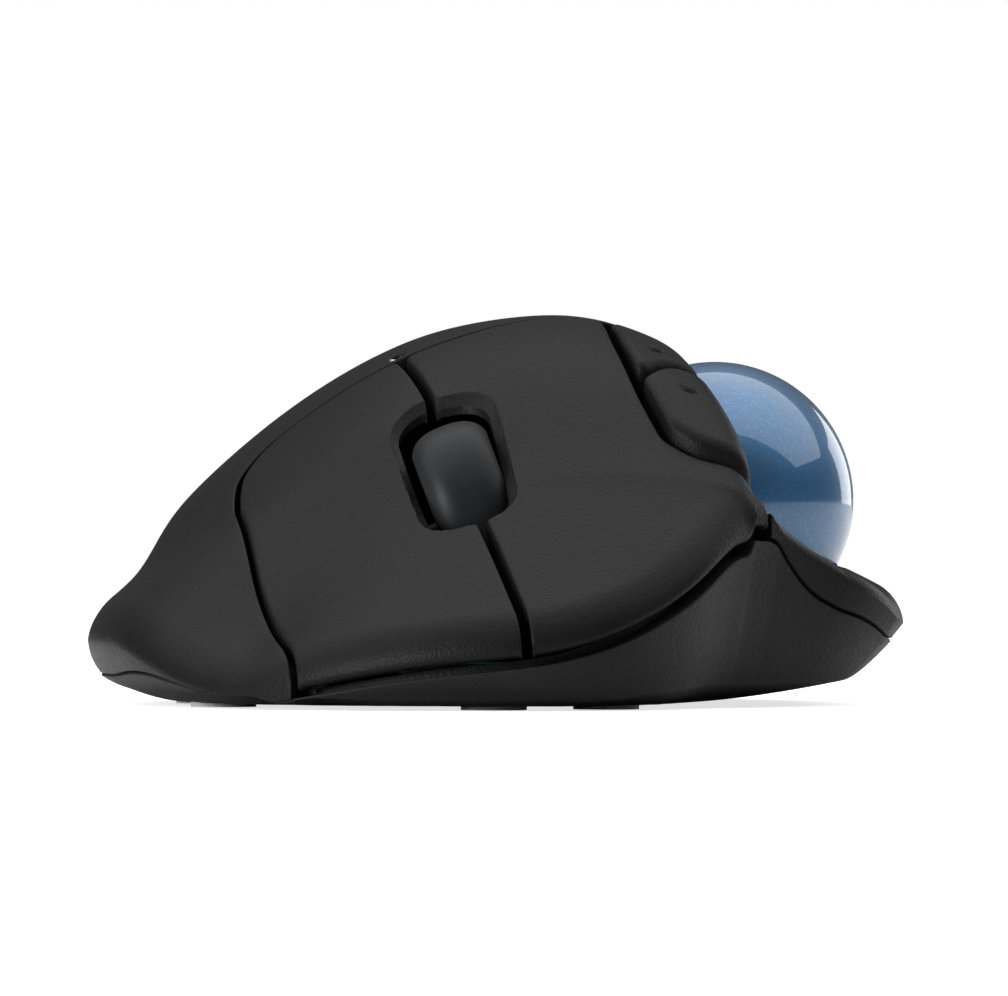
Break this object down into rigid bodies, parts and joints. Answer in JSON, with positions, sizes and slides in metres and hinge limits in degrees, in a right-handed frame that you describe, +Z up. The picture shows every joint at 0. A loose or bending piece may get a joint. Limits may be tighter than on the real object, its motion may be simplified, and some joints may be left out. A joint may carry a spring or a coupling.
{
  "type": "trackball mouse",
  "caption": "Sculpted right-handed wireless mouse with a thumb-operated trackball, keys split by a scroll wheel, side buttons, and a battery bay and controls underneath.",
  "frame": {"origin": "centre of the footprint's bounding box, in the plane the feet stand on", "axes": "+X to the thumb side where the ball is, +Y to the palm end (the keys face -Y), +Z up"},
  "size_m": [0.1002, 0.1337, 0.0478],
  "materials": {
    "textured_black": "fine leather grain, satin",
    "button_black": "smooth satin",
    "inner_grey": "moulded, unpainted",
    "control_grey": "satin",
    "ball_blue": "pearlescent, polished",
    "tyre_rubber": "smooth matt",
    "foot_glide": "smooth low-friction pad",
    "steel": "bright",
    "board_green": "solder mask over glass laminate",
    "component_black": "moulded",
    "clear_lens": "clear, polished",
    "ceramic": "polished ceramic",
    "battery_wrap": "printed sleeve on a steel can"
  },
  "bodies": {
    "base": {"aa_battery": "battery_wrap", "back_switch": "component_black", "ball_socket": "inner_grey", "battery_plate": "steel", "battery_spring": "steel", "bearing_ball_1": "ceramic", "bearing_ball_2": "ceramic", "bearing_ball_3": "ceramic", "board_screw_1": "steel", "board_screw_2": "steel", "board_screw_3": "steel", "bottom_case": "textured_black", "case_screw_1": "steel", "case_screw_2": "steel", "case_screw_3": "steel", "case_screw_4": "steel", "foot_front": "foot_glide", "foot_front_thumb": "foot_glide", "foot_rear": "foot_glide", "foot_side_front": "foot_glide", "foot_side_rear": "foot_glide", "foot_thumb": "foot_glide", "forward_switch": "component_black", "left_switch": "component_black", "main_board": "board_green", "middle_switch": "component_black", "optical_sensor": "component_black", "right_switch": "component_black", "sensor_board": "board_green", "sensor_lens": "clear_lens", "side_board": "board_green", "side_board_screw": "steel", "status_light": "clear_lens", "top_shell": "textured_black", "usb_receiver": "component_black"},
    "wheel_carrier": {"wheel_carriage": "inner_grey", "wheel_encoder": "component_black"},
    "wheel": {"wheel_tyre": "tyre_rubber", "wheel_hub": "inner_grey", "wheel_axle": "steel"},
    "ball": {"trackball": "ball_blue"},
    "left_key": {"left_key": "textured_black"},
    "right_key": {"right_key": "textured_black"},
    "forward_button": {"forward_button": "button_black"},
    "back_button": {"back_button": "button_black"},
    "power_slider": {"power_slider": "control_grey"},
    "connect_button": {"connect_button": "control_grey"},
    "battery_door": {"battery_door": "textured_black"}
  },
  "joints": [
    {"name": "ball_spin", "type": "hinge", "parent": "base", "child": "ball", "pos_m": [0.0271, -0.004, 0.0251], "axis": [1, 0, 0], "continuous": true},
    {"name": "wheel_press", "type": "slide", "parent": "base", "child": "wheel_carrier", "axis": [0, 0, -1], "range_m": [0, 0.0006], "stiffness_N_per_m": 1500, "springref_m": -0.0003},
    {"name": "wheel_spin", "type": "hinge", "parent": "wheel_carrier", "child": "wheel", "pos_m": [-0.0022, -0.0273, 0.0233], "axis": [0.9367, 0, 0.3502], "continuous": true},
    {"name": "left_key_press", "type": "hinge", "parent": "base", "child": "left_key", "pos_m": [0.009, -0.001, 0.041], "axis": [1, 0, 0], "range_deg": [0, 0.8], "stiffness_Nm_per_rad": 1.5, "springref_deg": -0.34},
    {"name": "right_key_press", "type": "hinge", "parent": "base", "child": "right_key", "pos_m": [-0.02, -0.003, 0.038], "axis": [1, 0, 0], "range_deg": [0, 0.8], "stiffness_Nm_per_rad": 1.5, "springref_deg": -0.34},
    {"name": "forward_press", "type": "slide", "parent": "base", "child": "forward_button", "axis": [-0.4983, 0, -0.867], "range_m": [0, 0.0004], "stiffness_N_per_m": 1500, "springref_m": -0.0003},
    {"name": "back_press", "type": "slide", "parent": "base", "child": "back_button", "axis": [-0.4983, 0, -0.867], "range_m": [0, 0.0004], "stiffness_N_per_m": 1500, "springref_m": -0.0003},
    {"name": "power_slide", "type": "slide", "parent": "base", "child": "power_slider", "axis": [1, 0, 0], "range_m": [0, 0.003]},
    {"name": "connect_press", "type": "slide", "parent": "base", "child": "connect_button", "axis": [0, 0, 1], "range_m": [0, 0.0005], "stiffness_N_per_m": 800},
    {"name": "battery_door_open", "type": "hinge", "parent": "base", "child": "battery_door", "pos_m": [-0.012, -0.0065, 0.0006], "axis": [-1, 0, 0], "range_deg": [0, 60]}
  ]
}
